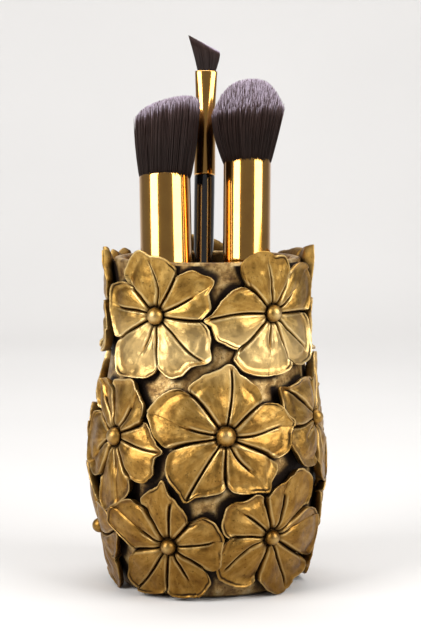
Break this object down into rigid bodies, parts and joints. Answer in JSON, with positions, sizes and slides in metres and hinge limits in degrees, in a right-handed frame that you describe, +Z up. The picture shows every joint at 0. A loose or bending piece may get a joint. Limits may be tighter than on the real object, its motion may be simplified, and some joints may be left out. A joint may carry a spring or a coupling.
{
  "type": "makeup brush holder",
  "caption": "Barrel-shaped pot covered in raised five-petalled flowers, open at the top, with removable makeup brushes leaning on its rim.",
  "frame": {"origin": "centre of the felt pad's underside, on the pot's axis", "axes": "+Z up along the pot's axis, -Y towards the front of the picture, +X to the right"},
  "size_m": [0.0843, 0.0839, 0.1887],
  "materials": {
    "pot": "cast resin with antique gold paint, satin, dark in the hollows",
    "flowers": "cast resin with antique gold paint, satin, rubbed bright on the raised edges",
    "felt": "dark felt",
    "handle_lacquer": "gloss black lacquer",
    "ferrule_gold": "polished gold anodised",
    "bristles": "soft synthetic bristles, dark brown with pale tips"
  },
  "bodies": {
    "holder": {"pot_body": "pot", "felt_pad": "felt", "flower_studs": "flowers", "flower_top_1": "flowers", "flower_top_2": "flowers", "flower_top_3": "flowers", "flower_top_4": "flowers", "flower_top_5": "flowers", "flower_middle_1": "flowers", "flower_middle_2": "flowers", "flower_middle_3": "flowers", "flower_middle_4": "flowers", "flower_middle_5": "flowers", "flower_middle_6": "flowers", "flower_bottom_1": "flowers", "flower_bottom_2": "flowers", "flower_bottom_3": "flowers", "flower_bottom_4": "flowers", "flower_bottom_5": "flowers", "flower_bottom_6": "flowers"},
    "domed_brush": {"domed_brush_handle": "handle_lacquer", "domed_brush_ferrule": "ferrule_gold", "domed_brush_tuft": "bristles"},
    "flat_brush": {"flat_brush_handle": "handle_lacquer", "flat_brush_ferrule": "ferrule_gold", "flat_brush_tuft": "bristles"},
    "angled_brush": {"angled_brush_handle": "handle_lacquer", "angled_brush_ferrule": "ferrule_gold", "angled_brush_tuft": "bristles"}
  },
  "joints": [
    {"name": "domed_brush_lift", "type": "slide", "parent": "holder", "child": "domed_brush", "axis": [0.0089, 0.1395, 0.9902], "range_m": [0, 0.12]},
    {"name": "flat_brush_lift", "type": "slide", "parent": "holder", "child": "flat_brush", "axis": [-0.0219, 0.1994, 0.9797], "range_m": [0, 0.12]},
    {"name": "angled_brush_lift", "type": "slide", "parent": "holder", "child": "angled_brush", "axis": [0.0144, 0.199, 0.9799], "range_m": [0, 0.12]}
  ]
}
